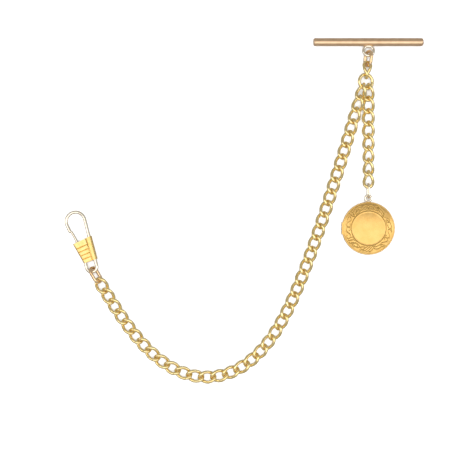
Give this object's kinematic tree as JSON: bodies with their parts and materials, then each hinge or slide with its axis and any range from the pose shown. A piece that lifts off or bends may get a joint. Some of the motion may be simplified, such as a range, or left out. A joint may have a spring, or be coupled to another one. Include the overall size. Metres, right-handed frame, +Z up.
{
  "type": "pocket watch chain",
  "caption": "Gold curb-link pocket watch chain with a T-bar, a spring clip and a short drop chain carrying a round opening locket, laid flat.",
  "frame": {"origin": "on the table under the middle of the whole laid chain's bounding box", "axes": "+X towards the right along the T-bar, +Y from the locket towards the T-bar, +Z up from the table"},
  "size_m": [0.1365, 0.1314, 0.0057],
  "materials": {
    "chain_gold": "polished yellow gold",
    "bar_gold": "satin rose gold",
    "rose_gold": "polished rose gold",
    "pale_gold": "polished pale gold",
    "sleeve_gold": "satin yellow gold",
    "locket_gold": "satin yellow gold, engraved border"
  },
  "bodies": {
    "t_bar": {"t_bar": "bar_gold", "t_bar_eye": "pale_gold"},
    "eye_link": {"eye_link": "rose_gold"},
    "turned_link": {"turned_link": "chain_gold"},
    "union_ring": {"union_ring": "chain_gold"},
    "chain_link_01": {"chain_link_01": "chain_gold"},
    "chain_link_02": {"chain_link_02": "chain_gold"},
    "chain_link_03": {"chain_link_03": "chain_gold"},
    "chain_link_04": {"chain_link_04": "chain_gold"},
    "chain_link_05": {"chain_link_05": "chain_gold"},
    "chain_link_06": {"chain_link_06": "chain_gold"},
    "chain_link_07": {"chain_link_07": "chain_gold"},
    "chain_link_08": {"chain_link_08": "chain_gold"},
    "chain_link_09": {"chain_link_09": "chain_gold"},
    "chain_link_10": {"chain_link_10": "chain_gold"},
    "chain_link_11": {"chain_link_11": "chain_gold"},
    "chain_link_12": {"chain_link_12": "chain_gold"},
    "chain_link_13": {"chain_link_13": "chain_gold"},
    "chain_link_14": {"chain_link_14": "chain_gold"},
    "chain_link_15": {"chain_link_15": "chain_gold"},
    "chain_link_16": {"chain_link_16": "chain_gold"},
    "chain_link_17": {"chain_link_17": "chain_gold"},
    "chain_link_18": {"chain_link_18": "chain_gold"},
    "chain_link_19": {"chain_link_19": "chain_gold"},
    "chain_link_20": {"chain_link_20": "chain_gold"},
    "chain_link_21": {"chain_link_21": "chain_gold"},
    "chain_link_22": {"chain_link_22": "chain_gold"},
    "chain_link_23": {"chain_link_23": "chain_gold"},
    "chain_link_24": {"chain_link_24": "chain_gold"},
    "chain_link_25": {"chain_link_25": "chain_gold"},
    "chain_link_26": {"chain_link_26": "chain_gold"},
    "chain_link_27": {"chain_link_27": "chain_gold"},
    "chain_link_28": {"chain_link_28": "chain_gold"},
    "chain_link_29": {"chain_link_29": "chain_gold"},
    "chain_link_30": {"chain_link_30": "chain_gold"},
    "chain_link_31": {"chain_link_31": "chain_gold"},
    "chain_link_32": {"chain_link_32": "chain_gold"},
    "chain_link_33": {"chain_link_33": "chain_gold"},
    "chain_link_34": {"chain_link_34": "chain_gold"},
    "chain_link_35": {"chain_link_35": "chain_gold"},
    "chain_link_36": {"chain_link_36": "chain_gold"},
    "chain_link_37": {"chain_link_37": "chain_gold"},
    "chain_link_38": {"chain_link_38": "chain_gold"},
    "chain_link_39": {"chain_link_39": "chain_gold"},
    "chain_link_40": {"chain_link_40": "chain_gold"},
    "chain_link_41": {"chain_link_41": "chain_gold"},
    "clip_link": {"clip_link": "rose_gold"},
    "clip": {"clip_hook": "pale_gold", "clip_sleeve": "sleeve_gold", "clip_gate_pin": "sleeve_gold"},
    "clip_gate": {"clip_gate": "pale_gold"},
    "fob_links_1": {"fob_links_1": "chain_gold"},
    "fob_links_2": {"fob_links_2": "chain_gold"},
    "fob_links_3": {"fob_links_3": "chain_gold"},
    "fob_links_4": {"fob_links_4": "chain_gold"},
    "locket_ring": {"locket_ring": "pale_gold"},
    "locket": {"locket_bail": "pale_gold", "locket_back": "locket_gold", "locket_hinge_pin": "locket_gold"},
    "locket_cover": {"locket_front": "locket_gold"}
  },
  "joints": [
    {"name": "clip_gate_open", "type": "hinge", "parent": "clip", "child": "clip_gate", "pos_m": [-0.06269, -0.01321, 0.00148], "axis": [0.0239, -0.0656, -0.9976], "range_deg": [0, 32], "stiffness_Nm_per_rad": 0.002},
    {"name": "cover_open", "type": "hinge", "parent": "locket", "child": "locket_cover", "pos_m": [0.0375, -0.0067, 0.002], "axis": [0, -1, 0], "range_deg": [0, 100]},
    {"name": "clip_swing", "type": "hinge", "parent": "clip_link", "child": "clip", "pos_m": [-0.05743, -0.0224, 0.00228], "axis": [0, 0, 1], "range_deg": [-8, 18]},
    {"name": "clip_link_swing", "type": "hinge", "parent": "chain_link_41", "child": "clip_link", "pos_m": [-0.05515, -0.02643, 0.00228], "axis": [-0.8666, -0.499, 0], "range_deg": [-25, 18]},
    {"name": "eye_link_swing", "type": "hinge", "parent": "t_bar", "child": "eye_link", "pos_m": [0.0474, 0.0597, 0.0025], "axis": [-1, 0, 0], "range_deg": [-7, 25]},
    {"name": "turned_link_swing", "type": "hinge", "parent": "eye_link", "child": "turned_link", "pos_m": [0.0469, 0.0557, 0.0023], "axis": [0, 0, 1], "range_deg": [-18, 18]},
    {"name": "union_ring_swing", "type": "hinge", "parent": "turned_link", "child": "union_ring", "pos_m": [0.0465, 0.05105, 0.0023], "axis": [1, 0, 0], "range_deg": [-17, 10]},
    {"name": "fob_bend_1", "type": "hinge", "parent": "union_ring", "child": "fob_links_1", "pos_m": [0.04728, 0.04733, 0.0021], "axis": [0, 0, 1], "range_deg": [0, 18]},
    {"name": "fob_bend_2", "type": "hinge", "parent": "fob_links_1", "child": "fob_links_2", "pos_m": [0.04728, 0.03789, 0.00164], "axis": [1, 0, 0], "range_deg": [-10, 16]},
    {"name": "fob_bend_3", "type": "hinge", "parent": "fob_links_2", "child": "fob_links_3", "pos_m": [0.04728, 0.02845, 0.00188], "axis": [0, 0, 1], "range_deg": [-5, 12]},
    {"name": "fob_bend_4", "type": "hinge", "parent": "fob_links_3", "child": "fob_links_4", "pos_m": [0.04728, 0.01901, 0.00216], "axis": [1, 0, 0], "range_deg": [-12, 12]},
    {"name": "locket_ring_swing", "type": "hinge", "parent": "fob_links_4", "child": "locket_ring", "pos_m": [0.04725, 0.0095, 0.0022], "axis": [0, 0, 1], "range_deg": [-12, 18]},
    {"name": "locket_swing", "type": "hinge", "parent": "locket_ring", "child": "locket", "pos_m": [0.04725, 0.0054, 0.00165], "axis": [-1, 0, 0], "range_deg": [-25, 8]},
    {"name": "link_bend_01", "type": "hinge", "parent": "union_ring", "child": "chain_link_01", "pos_m": [0.04523, 0.04732, 0.00371], "axis": [0, 0, 1], "range_deg": [-18, 0]},
    {"name": "link_bend_02", "type": "hinge", "parent": "chain_link_01", "child": "chain_link_02", "pos_m": [0.04398, 0.04287, 0.00257], "axis": [0.9621, -0.2725, 0], "range_deg": [-7, 0]},
    {"name": "link_bend_03", "type": "hinge", "parent": "chain_link_02", "child": "chain_link_03", "pos_m": [0.04271, 0.03841, 0.00199], "axis": [0, 0, -1], "range_deg": [-5, 18]},
    {"name": "link_bend_04", "type": "hinge", "parent": "chain_link_03", "child": "chain_link_04", "pos_m": [0.04142, 0.03396, 0.00169], "axis": [-0.9601, 0.2795, 0], "range_deg": [-25, 18]},
    {"name": "link_bend_05", "type": "hinge", "parent": "chain_link_04", "child": "chain_link_05", "pos_m": [0.04012, 0.02952, 0.00154], "axis": [0, 0, 1], "range_deg": [-18, 5]},
    {"name": "link_bend_06", "type": "hinge", "parent": "chain_link_05", "child": "chain_link_06", "pos_m": [0.0388, 0.02508, 0.00146], "axis": [0.958, -0.2867, 0], "range_deg": [-25, 25]},
    {"name": "link_bend_07", "type": "hinge", "parent": "chain_link_06", "child": "chain_link_07", "pos_m": [0.03747, 0.02065, 0.00142], "axis": [0, 0, -1], "range_deg": [-7, 18]},
    {"name": "link_bend_08", "type": "hinge", "parent": "chain_link_07", "child": "chain_link_08", "pos_m": [0.03611, 0.01622, 0.0014], "axis": [-0.9557, 0.2943, 0], "range_deg": [-25, 25]},
    {"name": "link_bend_09", "type": "hinge", "parent": "chain_link_08", "child": "chain_link_09", "pos_m": [0.03474, 0.0118, 0.00139], "axis": [0, 0, 1], "range_deg": [-18, 12]},
    {"name": "link_bend_10", "type": "hinge", "parent": "chain_link_09", "child": "chain_link_10", "pos_m": [0.03335, 0.00738, 0.00138], "axis": [0.9531, -0.3027, 0], "range_deg": [-25, 25]},
    {"name": "link_bend_11", "type": "hinge", "parent": "chain_link_10", "child": "chain_link_11", "pos_m": [0.03194, 0.00298, 0.00138], "axis": [0, 0, -1], "range_deg": [-18, 18]},
    {"name": "link_bend_12", "type": "hinge", "parent": "chain_link_11", "child": "chain_link_12", "pos_m": [0.0305, -0.00143, 0.00138], "axis": [-0.9498, 0.3129, 0], "range_deg": [-25, 25]},
    {"name": "link_bend_13", "type": "hinge", "parent": "chain_link_12", "child": "chain_link_13", "pos_m": [0.02904, -0.00582, 0.00138], "axis": [0, 0, 1], "range_deg": [-18, 18]},
    {"name": "link_bend_14", "type": "hinge", "parent": "chain_link_13", "child": "chain_link_14", "pos_m": [0.02755, -0.0102, 0.00138], "axis": [0.9453, -0.3262, 0], "range_deg": [-25, 25]},
    {"name": "link_bend_15", "type": "hinge", "parent": "chain_link_14", "child": "chain_link_15", "pos_m": [0.02602, -0.01457, 0.00138], "axis": [0, 0, -1], "range_deg": [-18, 18]},
    {"name": "link_bend_16", "type": "hinge", "parent": "chain_link_15", "child": "chain_link_16", "pos_m": [0.02445, -0.01893, 0.00138], "axis": [-0.9383, 0.3457, 0], "range_deg": [-25, 25]},
    {"name": "link_bend_17", "type": "hinge", "parent": "chain_link_16", "child": "chain_link_17", "pos_m": [0.02282, -0.02326, 0.00138], "axis": [0, 0, 1], "range_deg": [-18, 18]},
    {"name": "link_bend_18", "type": "hinge", "parent": "chain_link_17", "child": "chain_link_18", "pos_m": [0.02112, -0.02757, 0.00138], "axis": [0.9263, -0.3767, 0], "range_deg": [-25, 25]},
    {"name": "link_bend_19", "type": "hinge", "parent": "chain_link_18", "child": "chain_link_19", "pos_m": [0.01933, -0.03184, 0.00138], "axis": [0, 0, -1], "range_deg": [-18, 18]},
    {"name": "link_bend_20", "type": "hinge", "parent": "chain_link_19", "child": "chain_link_20", "pos_m": [0.01742, -0.03606, 0.00138], "axis": [-0.9037, 0.4282, 0], "range_deg": [-25, 25]},
    {"name": "link_bend_21", "type": "hinge", "parent": "chain_link_20", "child": "chain_link_21", "pos_m": [0.01537, -0.04021, 0.00138], "axis": [0, 0, 1], "range_deg": [-18, 18]},
    {"name": "link_bend_22", "type": "hinge", "parent": "chain_link_21", "child": "chain_link_22", "pos_m": [0.01311, -0.04425, 0.00138], "axis": [0.8581, -0.5134, 0], "range_deg": [-25, 25]},
    {"name": "link_bend_23", "type": "hinge", "parent": "chain_link_22", "child": "chain_link_23", "pos_m": [0.01061, -0.04815, 0.00138], "axis": [0, 0, -1], "range_deg": [-18, 18]},
    {"name": "link_bend_24", "type": "hinge", "parent": "chain_link_23", "child": "chain_link_24", "pos_m": [0.00781, -0.05183, 0.00138], "axis": [-0.7646, 0.6445, 0], "range_deg": [-25, 25]},
    {"name": "link_bend_25", "type": "hinge", "parent": "chain_link_24", "child": "chain_link_25", "pos_m": [0.00465, -0.05522, 0.00138], "axis": [0, 0, 1], "range_deg": [-18, 18]},
    {"name": "link_bend_26", "type": "hinge", "parent": "chain_link_25", "child": "chain_link_26", "pos_m": [0.0011, -0.05819, 0.00138], "axis": [0.5828, -0.8126, 0], "range_deg": [-25, 25]},
    {"name": "link_bend_27", "type": "hinge", "parent": "chain_link_26", "child": "chain_link_27", "pos_m": [-0.00285, -0.0606, 0.00138], "axis": [0, 0, -1], "range_deg": [-18, 18]},
    {"name": "link_bend_28", "type": "hinge", "parent": "chain_link_27", "child": "chain_link_28", "pos_m": [-0.00715, -0.06232, 0.00138], "axis": [-0.2845, 0.9587, 0], "range_deg": [-25, 25]},
    {"name": "link_bend_29", "type": "hinge", "parent": "chain_link_28", "child": "chain_link_29", "pos_m": [-0.01169, -0.06323, 0.00138], "axis": [0, 0, 1], "range_deg": [-18, 18]},
    {"name": "link_bend_30", "type": "hinge", "parent": "chain_link_29", "child": "chain_link_30", "pos_m": [-0.01632, -0.06326, 0.00138], "axis": [-0.0848, -0.9964, 0], "range_deg": [-25, 25]},
    {"name": "link_bend_31", "type": "hinge", "parent": "chain_link_30", "child": "chain_link_31", "pos_m": [-0.02088, -0.06244, 0.00138], "axis": [0, 0, -1], "range_deg": [-18, 18]},
    {"name": "link_bend_32", "type": "hinge", "parent": "chain_link_31", "child": "chain_link_32", "pos_m": [-0.02523, -0.06086, 0.00138], "axis": [0.4126, 0.9109, 0], "range_deg": [-25, 25]},
    {"name": "link_bend_33", "type": "hinge", "parent": "chain_link_32", "child": "chain_link_33", "pos_m": [-0.02929, -0.05863, 0.00138], "axis": [0, 0, 1], "range_deg": [-18, 18]},
    {"name": "link_bend_34", "type": "hinge", "parent": "chain_link_33", "child": "chain_link_34", "pos_m": [-0.03303, -0.05591, 0.00138], "axis": [-0.631, -0.7758, 0], "range_deg": [-25, 25]},
    {"name": "link_bend_35", "type": "hinge", "parent": "chain_link_34", "child": "chain_link_35", "pos_m": [-0.03646, -0.0528, 0.00139], "axis": [0, 0, -1], "range_deg": [-18, 18]},
    {"name": "link_bend_36", "type": "hinge", "parent": "chain_link_35", "child": "chain_link_36", "pos_m": [-0.03962, -0.04942, 0.00139], "axis": [0.7526, 0.6585, 0], "range_deg": [-25, 25]},
    {"name": "link_bend_37", "type": "hinge", "parent": "chain_link_36", "child": "chain_link_37", "pos_m": [-0.04256, -0.04583, 0.00141], "axis": [0, 0, 1], "range_deg": [-18, 18]},
    {"name": "link_bend_38", "type": "hinge", "parent": "chain_link_37", "child": "chain_link_38", "pos_m": [-0.04531, -0.04211, 0.00144], "axis": [-0.8157, -0.5784, 0], "range_deg": [-25, 25]},
    {"name": "link_bend_39", "type": "hinge", "parent": "chain_link_38", "child": "chain_link_39", "pos_m": [-0.04791, -0.03828, 0.0015], "axis": [0, 0, -1], "range_deg": [-18, 18]},
    {"name": "link_bend_40", "type": "hinge", "parent": "chain_link_39", "child": "chain_link_40", "pos_m": [-0.0504, -0.03438, 0.00161], "axis": [0.8486, 0.529, 0], "range_deg": [-25, 25]},
    {"name": "link_bend_41", "type": "hinge", "parent": "chain_link_40", "child": "chain_link_41", "pos_m": [-0.05281, -0.03042, 0.00184], "axis": [0, 0, 1], "range_deg": [-18, 18]}
  ]
}
